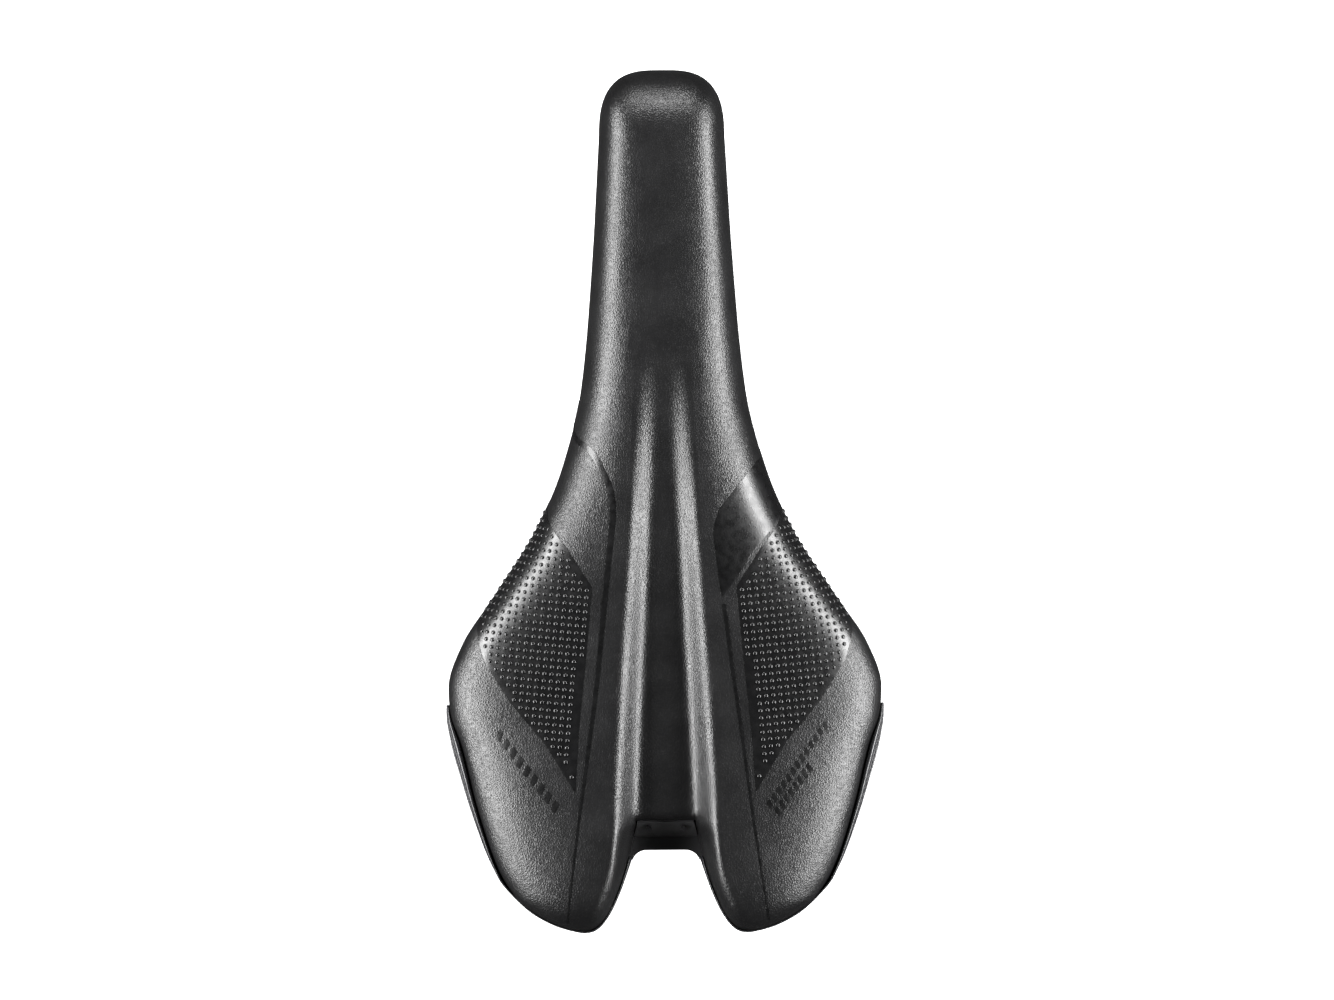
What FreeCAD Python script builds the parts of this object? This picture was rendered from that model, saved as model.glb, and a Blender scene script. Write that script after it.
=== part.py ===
"""Bicycle saddle: padded cover on a moulded shell, carried by two steel rails.

Millimetres. +Y points to the nose, +X to the rider's right, +Z up. The origin is midway between
the two rails, in the middle of the straight stretch that a seat post clamps.
"""

import FreeCAD, Part
import math
import os

V = FreeCAD.Vector

# ---- driving dimensions -------------------------------------------------------------------
NOSE_Y = 147.0          # front of the nose
TAIL_Y = -128.0         # tips of the two tail lobes
NOSE_ROUND = 22.0       # length of the rounded nose end
TAIL_ROUND = 11.0       # length over which the tail's top rolls down
COVER = 1.4             # thickness of the cover
SKIN_GAP = 2.0          # foam left beside the shell's edge
SHELL = 2.6             # wall of the moulded shell
FILM = 0.35             # thickness of the bonded grip patches and accent strips
FOAM_REAR = 10.0        # foam over the shell under the sit bones
FOAM_NOSE = 8.0         # foam over the shell at the nose
SKIRT_DEPTH = 9.0       # how far the hollow tools reach below the lower edge
RAIL_R = 3.5            # rail rod radius, a 7 mm rail
RAIL_X = 22.0           # half of the 44 mm between the rails' centres
CLAMP_Y = 43.0          # where the straight clamp stretch starts to bend, each way
NOSE_RAIL_X = 8.0       # half distance between the rails in the nose socket
NOSE_RAIL_Z = 23.0      # height of the rails in the nose socket
REAR_RAIL_Z = 27.0      # height of the rails where they enter the rear blocks
SCREW_R = 2.0           # M4 screws
HEAD_R = 3.6            # their button heads
HEAD_GAP = 0.2          # gap round a head in its recess
HEAD_SINK = 1.8         # how far a head's bearing face is above the part's underside
HEAD_TALL = 2.2
HEX_R = 1.35            # hexagon socket in a screw's head
HEX_DEEP = 1.4
INSERT_R = 3.0          # brass threaded inserts
INSERT_LENGTH = 5.6
THROUGH = 60.0          # a cutting length that passes everything
CLEARANCE = 0.15        # gap between the cover and the edge guard or the bridge beside it

# Stations along Y with values; a smooth monotone curve runs through them.
HALF_WIDTH = [(-128, 25.5), (-126.5, 32.5), (-124, 38.4), (-120, 45), (-116, 49.4), (-105, 56),
              (-93, 60.6), (-78, 65.3), (-66, 68.5), (-58, 69.6), (-48, 68.7), (-36, 64.3),
              (-20, 53.6), (0, 40.9), (20, 32.4), (45, 26.3), (90, 22.1), (125, 20.1)]
GUARD_WIDTH = [(-128, 3.4), (-126.5, 2.6), (-124, 2.0), (-120, 1.6), (-116, 1.5), (-99, 1.8), (-86, 2.2),
               (-70, 3.0), (-60, 1.6), (-54, 0.7), (-48, 0.0), (147, 0.0)]
CROWN = [(-128, 49.5), (-95, 51), (-60, 50), (-20, 47.5), (20, 45.5), (70, 44.5), (125, 45)]
LOWER_EDGE = [(-128, 35), (-100, 33.5), (-57, 31.5), (-30, 29.5), (0, 25.5), (30, 21.5),
              (70, 18), (125, 16.5), (147, 18.5)]
ROUNDNESS = [(-128, 2.3), (-60, 2.3), (0, 2.4), (60, 2.8), (147, 2.8)]
CHANNEL_DEPTH = [(-128, 9), (-90, 8), (-50, 6.5), (0, 4.5), (40, 2.2), (64, 0), (147, 0)]
CHANNEL_FLOOR = [(-128, 9), (-85, 8), (-6, 4), (45, 1.2), (147, 1)]
CHANNEL_SHOULDER = [(-128, 18), (-85, 16.5), (-6, 12), (45, 9.5), (147, 8)]
FOAM = [(-128, FOAM_REAR), (-40, FOAM_REAR), (60, FOAM_NOSE), (147, FOAM_NOSE)]

STATIONS = [146.4, 144.5, 141, 136, 129, 120, 104, 84, 64, 46, 30, 14, -2, -18, -34, -48, -58,
            -68, -82, -96, -106, -114, -120, -124, -127.0]

DOME_STEPS = 8          # points of a cross-section between the channel's shoulder and the side

# Half of the notch between the tail lobes, from its front corner back to the lobe's tip.
NOTCH = [(9.3, -93.7), (11.2, -100.6), (13.1, -107.5), (15.8, -116.1), (19.4, -122.7), (24.4, -128.2)]
NOTCH_FRONT_Y = -92.0
LIP_Y = -101.8          # rear edge of the shell's bridge between the lobes
LIP_FLAT = 6.2          # half of the straight part of that edge
LIP_ROUND = 4.7         # radius of the hollow corners that lead it into the lobes
LIP_TURN = 70.0         # degrees that each corner turns
BRIDGE_HALF = 8.6       # half width of the bridge under the cover
WING_HALF = 14.0        # reaches past the notch's sides, where it is trimmed

GUARD_WALL = 0.55       # its wall where it is thinnest
# The edge guard's outer line in plan, from the side of the saddle round the tail to the notch.
GUARD_TAIL = [(44, -120.6), (36.5, -125.1), (29.5, -127.4), (24.6, -127.9), (21, -126.2),
              (17.6, -121.7), (14.6, -115.4), (12.1, -108.6), (10.6, -104.0)]
GUARD_SIDE_Y = [-55.5, -60, -68, -80, -93, -104, -113]

# Overlay outlines in plan, right-hand side (x, y).
GRIP = [(52, 24), (37.0, 5.5), (22.8, -18), (24.6, -38), (27.2, -63), (28.4, -82.5), (38, -67),
        (49, -54), (57, -41), (60, -30.5), (78, -26)]
LEFT_STRIP = [(36, 45), (28.6, 32), (23.4, 25.2), (19.4, 18.6), (16.7, 11.5), (16.2, 4), (17.2, -6),
              (19.0, -24), (21.4, -48), (24.6, -72), (28.2, -98), (31.3, -125)]
LEFT_STRIP_WIDTH = [1.0, 1.2, 1.4, 1.7, 1.9, 1.9, 1.7, 1.5, 1.2, 0.9, 0.6, 0.5]
RIGHT_STRIP = [(18.6, -21.6), (19.6, -30), (21.2, -43), (23, -56), (25.4, -74), (28.2, -95),
               (32.8, -125)]
RIGHT_STRIP_WIDTH = [0.9, 0.9, 0.85, 0.8, 0.7, 0.55, 0.5]
PANEL = [(38, 38), (29.6, 24.6), (25.4, 18.4), (20.4, 12.2), (16.6, 4.6), (15.6, -3), (16.4, -12),
         (17.8, -20.4), (24, -13.2), (31, -5.6), (36.2, 2.4), (44, 18)]

GEL_CENTRE = (40.0, -62.0)
GEL_HALF = (15.0, 24.0)
GEL_DEPTH = 3.0         # foam left over the gel
GEL_THICKNESS = 4.0
GEL_LOWEST = 37.0       # the gel stays over the shell's flat part
GEL_POINTS = 10         # points round its outline

# Underside: ribs, bosses and pads of the shell, and what hangs from it, as (low, high) corners.
RIB_Y = (-46, -22, 2, 26, 50, 74)
RIB_X = 17.0
RIB_HALF = 0.8
NOSE_BLOCK = ((-14.0, 100.0, NOSE_RAIL_Z), (14.0, 128.0, 60.0))
PAD_Z = 33.0            # face of the pads that the rear rail blocks screw to
REAR_PAD = ((22.6, -106.0, PAD_Z), (43.5, -76.0, 45.0))
REAR_BLOCK = ((23.6, -104.0, 20.5), (42.5, -78.0, PAD_Z))
BRIDGE_Z = 31.0         # underside of the bridge, where the accessory socket hangs
BRIDGE_TOP = 39.5       # the cover's rear edge rests on the bridge here
BRIDGE_FRONT_Y = NOTCH_FRONT_Y + 6.0
CENTRE_PAD = ((-17.0, -92.0, BRIDGE_Z), (17.0, -72.0, 45.0))
SOCKET = ((-16.0, -97.2, 20.0), (16.0, -73.0, BRIDGE_Z))
SLOT_HALF = 7.5         # half width of the accessory slot
SLOT_Z = (22.6, 28.4)   # its floor and roof
SLOT_FRONT_Y = -76.5
NOSE_SCREW_Y = (107.0, 120.0)
NOSE_CAP_LOW = NOSE_RAIL_Z - 5.6
PLATE_GAP = 0.02        # hair gap at the nose clamp's joint line
BLOCK_SCREW_X = 28.0
BLOCK_SCREW_Y = (-82.5, -99.5)
SOCKET_SCREW_X = 11.6
SOCKET_SCREW_Y = -79.5
SCREW_TOP = 36.0        # top of the blind holes for the rear screws

# Corners of the right-hand rail's centreline, from nose to tail, and the bends between them.
RAIL_POINTS = [V(NOSE_RAIL_X, 124, NOSE_RAIL_Z), V(NOSE_RAIL_X, 97, NOSE_RAIL_Z),
               V(RAIL_X, CLAMP_Y, 0), V(RAIL_X, -CLAMP_Y, 0),
               V(33.6, -76, REAR_RAIL_Z), V(34.8, -100, REAR_RAIL_Z + 0.5)]
RAIL_RADII = [34.0, 34.0, 26.0, 22.0]


# ---- curves -------------------------------------------------------------------------------
def curve(stations):
    """A monotone cubic curve through (y, value) stations, as a function of y."""
    ys = [s[0] for s in stations]
    vs = [s[1] for s in stations]
    steps = [ys[i + 1] - ys[i] for i in range(len(ys) - 1)]
    slopes = [(vs[i + 1] - vs[i]) / steps[i] for i in range(len(steps))]
    tangents = [slopes[0]]
    for i in range(1, len(slopes)):
        a, b = slopes[i - 1], slopes[i]
        tangents.append(0.0 if a * b <= 0 else 2 * a * b / (a + b))
    tangents.append(slopes[-1])

    def value(y):
        if y <= ys[0]:
            return vs[0]
        if y >= ys[-1]:
            return vs[-1]
        i = max(k for k in range(len(steps)) if ys[k] <= y)
        t = (y - ys[i]) / steps[i]
        h = steps[i]
        return ((2 * t ** 3 - 3 * t ** 2 + 1) * vs[i] + (t ** 3 - 2 * t ** 2 + t) * h * tangents[i]
                + (3 * t ** 2 - 2 * t ** 3) * vs[i + 1] + (t ** 3 - t ** 2) * h * tangents[i + 1])

    return value


half_width = curve(HALF_WIDTH)
guard_width = curve(GUARD_WIDTH)
crown = curve(CROWN)
lower_edge = curve(LOWER_EDGE)
roundness = curve(ROUNDNESS)
channel_depth = curve(CHANNEL_DEPTH)
channel_floor = curve(CHANNEL_FLOOR)
channel_shoulder = curve(CHANNEL_SHOULDER)
foam_depth = curve(FOAM)


def rounded_end(share, power):
    """1 at share 0, falling to 0 at share 1 like a superellipse."""
    return (1 - min(max(share, 0.0), 0.9995) ** power) ** (1 / power)


def outer_width(y):
    """Half width of the whole saddle in plan."""
    return half_width(y) * rounded_end((y - NOSE_Y + NOSE_ROUND) / NOSE_ROUND, 2.8)


def cover_width(y):
    """Half width of the cover, which is inside the edge guard at the rear."""
    return outer_width(y) - guard_width(y)


def top_height(y):
    """Height of the crown over the lower edge, rolled down at the nose and the tail."""
    nose = rounded_end((y - NOSE_Y + NOSE_ROUND) / NOSE_ROUND, 2.3)
    tail = rounded_end((TAIL_Y + TAIL_ROUND - y) / TAIL_ROUND, 2.0)
    return (crown(y) - lower_edge(y)) * nose * (0.45 + 0.55 * tail)


def smooth(t):
    t = min(max(t, 0.0), 1.0)
    return t * t * (3 - 2 * t)


def channel_cut(x, y):
    """Depth of the central channel at a point."""
    floor, shoulder = channel_floor(y), channel_shoulder(y)
    return channel_depth(y) * (1 - smooth((abs(x) - floor) / (shoulder - floor)))


# ---- lofted layers ------------------------------------------------------------------------
def section(y, side, top, reach, channel):
    """One closed cross-section: the domed top edge, two sides and the bottom, at station y.

    side and top are the insets from the cover's outside, reach how far it goes below the edge.
    """
    shift = side * (2 * (y - TAIL_Y) / (NOSE_Y - TAIL_Y) - 1)
    width = max(cover_width(y) - side, 1.0)
    edge = lower_edge(y)
    height = max(top_height(y) - top, 0.8)
    power = roundness(y)
    floor = min(channel_floor(y), 0.25 * width)
    shoulder = min(channel_shoulder(y), 0.5 * width)
    xs = [0, 0.6 * floor, floor, floor + 0.33 * (shoulder - floor),
          floor + 0.67 * (shoulder - floor), shoulder]
    xs += [shoulder + (width - shoulder) * math.sin(k / DOME_STEPS * math.pi / 2)
           for k in range(1, DOME_STEPS + 1)]
    points = []
    for x in xs:
        rise = height * (1 - min(x / width, 1.0) ** power) ** (1 / power)
        if channel:
            rise = max(rise - channel_cut(x, y), 0.0)
        points.append(V(x, y - shift, edge + rise))
    points = [V(-p.x, p.y, p.z) for p in reversed(points[1:])] + points
    # Every section has the same parameters, so the lofted surface keeps one short list of knots.
    top_curve = Part.BSplineCurve()
    top_curve.interpolate(Points=points, Parameters=[float(k) for k in range(len(points))])
    left, right = points[0], points[-1]
    down = V(0, 0, -reach)
    edges = [top_curve.toShape(), Part.makeLine(right, right + down),
             Part.makeLine(right + down, left + down), Part.makeLine(left + down, left)]
    return Part.Wire(edges)


def layer(side, top, reach=SKIRT_DEPTH, channel=True):
    """A solid filling everything under one inset of the cover's outside."""
    tops = top if callable(top) else (lambda y: top)
    return Part.makeLoft([section(y, side, tops(y), reach, channel) for y in STATIONS], True, False)


def prism(points, low=0.0, high=70.0, mirror=False, spline=False):
    """A vertical prism over a closed plan outline."""
    sign = -1 if mirror else 1
    vertices = [V(sign * x, y, low) for x, y in points]
    if spline:
        outline = Part.BSplineCurve()
        outline.interpolate(vertices, PeriodicFlag=True)
        wire = Part.Wire(outline.toShape())
    else:
        wire = Part.makePolygon(vertices + vertices[:1])
    return Part.Face(wire).extrude(V(0, 0, high - low))


def ribbon(centre, widths, mirror=False):
    """A vertical prism over a strip of varying width along a smooth centreline."""
    sides = [[], []]
    for i, (x, y) in enumerate(centre):
        ax, ay = centre[max(i - 1, 0)]
        bx, by = centre[min(i + 1, len(centre) - 1)]
        length = math.hypot(bx - ax, by - ay)
        nx, ny = -(by - ay) / length, (bx - ax) / length
        for side, sign in zip(sides, (-0.5, 0.5)):
            side.append((x + sign * widths[i] * nx, y + sign * widths[i] * ny))
    flip = -1 if mirror else 1
    edges = []
    for side in sides:
        line = Part.BSplineCurve()
        line.interpolate([V(flip * x, y, 0) for x, y in side])
        edges.append(line.toShape())
    first = Part.makeLine(edges[0].Vertexes[0].Point, edges[1].Vertexes[0].Point)
    last = Part.makeLine(edges[0].Vertexes[-1].Point, edges[1].Vertexes[-1].Point)
    wire = Part.Wire(Part.__sortEdges__([edges[0], last, edges[1], first]))
    return Part.Face(wire).extrude(V(0, 0, 80))


def notch_tool(grow):
    """The space between the tail lobes, grown by this much all round."""
    front = NOTCH_FRONT_Y + grow
    side = [(x + grow, y) for x, y in NOTCH]
    line = Part.BSplineCurve()
    line.interpolate([V(x, y, 0) for x, y in side])
    mirrored = Part.BSplineCurve()
    mirrored.interpolate([V(-x, y, 0) for x, y in side])
    right, left = line.toShape(), mirrored.toShape()
    corner = side[0][0]
    edges = [right, left,
             Part.makeLine(V(corner, side[0][1], 0), V(corner - 0.3, front, 0)),
             Part.makeLine(V(corner - 0.3, front, 0), V(0.3 - corner, front, 0)),
             Part.makeLine(V(0.3 - corner, front, 0), V(-corner, side[0][1], 0)),
             Part.makeLine(V(side[-1][0], side[-1][1], 0), V(-side[-1][0], side[-1][1], 0))]
    wire = Part.Wire(Part.__sortEdges__(edges))
    return Part.Face(wire).extrude(V(0, 0, 80))


def mirrored(shape):
    return shape.mirror(V(0, 0, 0), V(1, 0, 0))


def box(low, high):
    size = [high[k] - low[k] for k in range(3)]
    return Part.makeBox(*size, V(*low))


def solid_of(shape):
    """The shape as one solid or a compound of its solids, with tiny scraps left out."""
    solids = [s for s in shape.Solids if s.Volume > 0.5]
    return solids[0] if len(solids) == 1 else Part.makeCompound(solids)


# ---- padding, cover and shell -------------------------------------------------------------
def shell_top(y):
    return COVER + foam_depth(y)


def shell_inside(y):
    return shell_top(y) + SHELL


def rib_inside(y):
    return shell_inside(y) + 3.0


def padding():
    """Cover, foam, gel inserts and the bare shell, nested inside each other."""
    outside = layer(0, 0, reach=0.01).cut(notch_tool(0))
    under_cover = layer(COVER, COVER).cut(notch_tool(COVER))
    over_shell = layer(COVER + SKIN_GAP, shell_top, channel=False).cut(notch_tool(COVER + SKIN_GAP))
    in_shell = layer(COVER + SKIN_GAP + SHELL, shell_inside, channel=False)
    in_shell = in_shell.cut(notch_tool(COVER + SKIN_GAP + SHELL))
    gel_band = layer(5, COVER + GEL_DEPTH).cut(layer(8, COVER + GEL_DEPTH + GEL_THICKNESS))
    gel_outline = []
    for k in range(GEL_POINTS):
        angle = 2 * math.pi * k / GEL_POINTS
        gel_outline.append((GEL_CENTRE[0] + GEL_HALF[0] * math.cos(angle),
                            GEL_CENTRE[1] + GEL_HALF[1] * math.sin(angle)))
    gel = solid_of(gel_band.common(prism(gel_outline, low=GEL_LOWEST, spline=True)).cut(over_shell))
    gels = [mirrored(gel), gel]
    cover = outside.cut(under_cover)
    foam = outside.common(under_cover).cut([over_shell] + gels)
    shell = outside.common(over_shell).cut(in_shell)
    return cover, foam, gels, shell, in_shell.common(outside)


def shell_ribs(in_shell):
    """Stiffening ribs on the underside: long ones beside the channel, short ones across."""
    band = in_shell.cut(layer(COVER + SKIN_GAP + SHELL + 3, rib_inside, channel=False))
    plates = [box((s * RIB_X - RIB_HALF, -84, 0), (s * RIB_X + RIB_HALF, 92, 60)) for s in (-1, 1)]
    plates += [box((-62, y - RIB_HALF, 0), (62, y + RIB_HALF, 60)) for y in RIB_Y]
    ribs = band.common(plates[0].multiFuse(plates[1:]))
    return [s for s in ribs.Solids if s.Volume > 2]


def bridge_outline():
    """Plan of the bridge: a straight rear edge whose hollow corners run into the lobes."""
    def corner(side, share):
        turn = math.radians(LIP_TURN * share)
        x = LIP_FLAT + LIP_ROUND * math.sin(turn)
        return V(side * x, LIP_Y - LIP_ROUND * (1 - math.cos(turn)), 0)

    ends = {side: corner(side, 1.0) for side in (-1, 1)}
    edges = [Part.makeLine(corner(-1, 0.0), corner(1, 0.0))]
    for side in (-1, 1):
        wing = V(side * WING_HALF, ends[side].y, 0)
        edges += [Part.Arc(corner(side, 0.0), corner(side, 0.5), ends[side]).toShape(),
                  Part.makeLine(ends[side], wing),
                  Part.makeLine(wing, V(side * WING_HALF, NOTCH_FRONT_Y, 0))]
    edges.append(Part.makeLine(V(-WING_HALF, NOTCH_FRONT_Y, 0), V(WING_HALF, NOTCH_FRONT_Y, 0)))
    return Part.Face(Part.Wire(Part.__sortEdges__(edges))).extrude(V(0, 0, THROUGH))


def bridge(guards):
    """The step between the lobes: it drops behind the cover's rear edge and ends in a level lip."""
    rear = LIP_Y - LIP_ROUND
    profile = [(BRIDGE_FRONT_Y, BRIDGE_TOP), (NOTCH_FRONT_Y - 0.6, BRIDGE_TOP), (-97.6, 34.2),
               (LIP_Y, 34.0), (rear, 34.0), (rear, BRIDGE_Z), (BRIDGE_FRONT_Y, BRIDGE_Z)]
    face = Part.Face(Part.makePolygon([V(-WING_HALF, y, z) for y, z in profile + profile[:1]]))
    step = face.extrude(V(2 * WING_HALF, 0, 0))
    under_cover = step.common(box((-BRIDGE_HALF, NOTCH_FRONT_Y - 0.5, 0), (BRIDGE_HALF, 0, THROUGH)))
    behind_cover = step.common(bridge_outline()).common(notch_tool(-CLEARANCE)).cut(guards)
    return under_cover.fuse(behind_cover)


def bridge_space():
    """What the cover and the foam leave free for the bridge."""
    return box((-BRIDGE_HALF - CLEARANCE, LIP_Y, 0),
               (BRIDGE_HALF + CLEARANCE, BRIDGE_FRONT_Y + CLEARANCE, BRIDGE_TOP + CLEARANCE))


def base_shell(shell, in_shell, guards):
    """The moulded shell with its ribs, nose boss, rear pads and the bridge between the lobes."""
    boss = box(*NOSE_BLOCK).common(in_shell)
    rear_pad = box(*REAR_PAD).common(in_shell)
    centre_pad = box(*CENTRE_PAD).common(in_shell)
    additions = [boss, centre_pad, bridge(guards), rear_pad, mirrored(rear_pad)]
    return shell.multiFuse(additions + shell_ribs(in_shell))


# ---- edge guards --------------------------------------------------------------------------
def guard():
    """The right-hand edge guard: an L-section lofted along the rear edge, tapering forwards."""
    line = [(outer_width(y), y) for y in GUARD_SIDE_Y] + GUARD_TAIL
    sections = []
    for i, (x, y) in enumerate(line):
        ax, ay = line[max(i - 1, 0)]
        bx, by = line[min(i + 1, len(line) - 1)]
        length = math.hypot(bx - ax, by - ay)
        outward = V(-(by - ay) / length, (bx - ax) / length, 0)
        wall = max(guard_width(y) * outward.x - CLEARANCE, GUARD_WALL)
        tall = 1.6 + 2.4 * smooth((-54 - y) / 14) if i < len(GUARD_SIDE_Y) else 3.2
        base = V(x, y, lower_edge(y))
        corners = [(0, -1.9), (0, tall), (-wall, tall), (-wall, -0.3), (-4.6, -0.3), (-4.6, -1.9)]
        points = [base + outward * a + V(0, 0, b) for a, b in corners]
        sections.append(Part.makePolygon(points + points[:1]))
    return Part.makeLoft(sections, True, False)


# ---- rails --------------------------------------------------------------------------------
def rounded_path(points, radii):
    """Straight runs joined by tangent arcs of these radii, one for each inner point."""
    edges, start = [], points[0]
    for i in range(1, len(points) - 1):
        before, after = points[i - 1] - points[i], points[i + 1] - points[i]
        before.normalize()
        after.normalize()
        half_turn = (math.pi - before.getAngle(after)) / 2
        reach = radii[i - 1] * math.tan(half_turn)
        first, last = points[i] + before * reach, points[i] + after * reach
        inward = before + after
        inward.normalize()
        middle = points[i] + inward * (radii[i - 1] / math.cos(half_turn) - radii[i - 1])
        edges += [Part.makeLine(start, first), Part.Arc(first, middle, last).toShape()]
        start = last
    edges.append(Part.makeLine(start, points[-1]))
    return Part.Wire(edges)


def rail():
    path = rounded_path(RAIL_POINTS, RAIL_RADII)
    start = RAIL_POINTS[0]
    ring = Part.Wire(Part.makeCircle(RAIL_R, start, RAIL_POINTS[1] - start))
    rod = path.makePipeShell([ring], True, False)
    expected = math.pi * RAIL_R ** 2 * path.Length
    print("rail volume over section times length:", round(rod.Volume / expected, 4))
    return rod.Solids[0] if rod.Solids else Part.Solid(rod)


# ---- fasteners ----------------------------------------------------------------------------
def screw(x, y, head_z, length):
    """A button-head screw driven upwards: its head's bearing face is at head_z."""
    low = head_z - HEAD_TALL
    head = Part.makeCylinder(HEAD_R, HEAD_TALL, V(x, y, low))
    rim = [e for e in head.Edges
           if abs(e.CenterOfMass.z - low) < 1e-6 and e.Length > 2 * math.pi * SCREW_R]
    head = head.makeFillet(1.2, rim)
    hexagon = []
    for k in range(6):
        angle = k * math.pi / 3
        hexagon.append(V(x + HEX_R * math.cos(angle), y + HEX_R * math.sin(angle), low))
    recess = Part.Face(Part.makePolygon(hexagon + hexagon[:1])).extrude(V(0, 0, HEX_DEEP))
    shank = Part.makeCylinder(SCREW_R, length, V(x, y, head_z))
    return head.fuse(shank).cut(recess).removeSplitter()


def hole(x, y, low, high, radius=SCREW_R):
    return Part.makeCylinder(radius, high - low, V(x, y, low))


def insert(x, y, low, length):
    """A brass threaded insert round a screw's end."""
    sleeve = Part.makeCylinder(INSERT_R, length, V(x, y, low))
    return sleeve.cut(hole(x, y, low - 1, low + length + 1))


# ---- hardware -----------------------------------------------------------------------------
def nose_cap(rods):
    """The plate under the nose boss that holds the rails' front ends in their grooves."""
    cap = box((-12.6, 101.5, NOSE_CAP_LOW), (12.6, 126.5, NOSE_RAIL_Z - PLATE_GAP))
    cap = cap.makeFillet(2.4, [e for e in cap.Edges if abs(e.Vertexes[0].Z - e.Vertexes[-1].Z) > 1])
    cap = cap.makeChamfer(1.0, [e for e in cap.Edges if abs(e.CenterOfMass.z - NOSE_CAP_LOW) < 1e-6])
    for rod in rods:
        cap = cap.cut(rod)
    for y in NOSE_SCREW_Y:
        cap = cap.cut(hole(0, y, 0, THROUGH))
        cap = cap.cut(hole(0, y, 0, NOSE_CAP_LOW + HEAD_SINK, HEAD_R + HEAD_GAP))
    return solid_of(cap)


def rear_block(rod):
    """The right-hand block that takes the rail's rear end, screwed up to the shell's pad."""
    block = box(*REAR_BLOCK)
    block = block.makeFillet(3.0, [e for e in block.Edges
                                   if abs(e.Vertexes[0].Z - e.Vertexes[-1].Z) > 1])
    low = REAR_BLOCK[0][2]
    block = block.makeChamfer(1.4, [e for e in block.Edges if abs(e.CenterOfMass.z - low) < 1e-6])
    block = block.cut(rod)
    for y in BLOCK_SCREW_Y:
        block = block.cut(hole(BLOCK_SCREW_X, y, 0, THROUGH))
        block = block.cut(hole(BLOCK_SCREW_X, y, 0, low + HEAD_SINK, HEAD_R + HEAD_GAP))
    return solid_of(block)


def accessory_socket():
    """The hollow block under the bridge that a bag's or lamp's tongue slides into from behind."""
    block = box(*SOCKET)
    block = block.makeFillet(2.0, [e for e in block.Edges
                                   if abs(e.Vertexes[0].Z - e.Vertexes[-1].Z) > 1])
    behind = SOCKET[0][1] - 1
    block = block.cut(box((-SLOT_HALF, behind, SLOT_Z[0]), (SLOT_HALF, SLOT_FRONT_Y, SLOT_Z[1])))
    head_z = SOCKET[0][2] + HEAD_SINK
    for x in (-SOCKET_SCREW_X, SOCKET_SCREW_X):
        block = block.cut(hole(x, SOCKET_SCREW_Y, 0, THROUGH))
        block = block.cut(hole(x, SOCKET_SCREW_Y, 0, head_z, HEAD_R + HEAD_GAP))
    return block


def slot_cover():
    """The removable cover of the accessory slot: a face plate with two prongs and a finger lip."""
    back = SOCKET[0][1] - 0.3
    plate = box((-11, back - 2.4, 21.0), (11, back, 30.0))
    plate = plate.makeFillet(1.6, [e for e in plate.Edges
                                   if abs(e.Vertexes[0].Y - e.Vertexes[-1].Y) > 1])
    lip = box((-5, back - 4.0, 21.4), (5, back - 2.4, 23.2))
    gap = 0.3
    prongs = [box((low, back, SLOT_Z[0] + gap), (low + 1.8, SLOT_FRONT_Y - 5, SLOT_Z[1] - gap))
              for low in (-SLOT_HALF + gap, SLOT_HALF - gap - 1.8)]
    return plate.multiFuse([lip] + prongs).removeSplitter()


def bridge_pins():
    """Two small dowel pins pressed into the bridge's sloping face."""
    pins = [Part.makeCylinder(0.9, 4.0, V(s * 5.4, -94.6, 35.0)) for s in (-1, 1)]
    return Part.makeCompound(pins)


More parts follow.
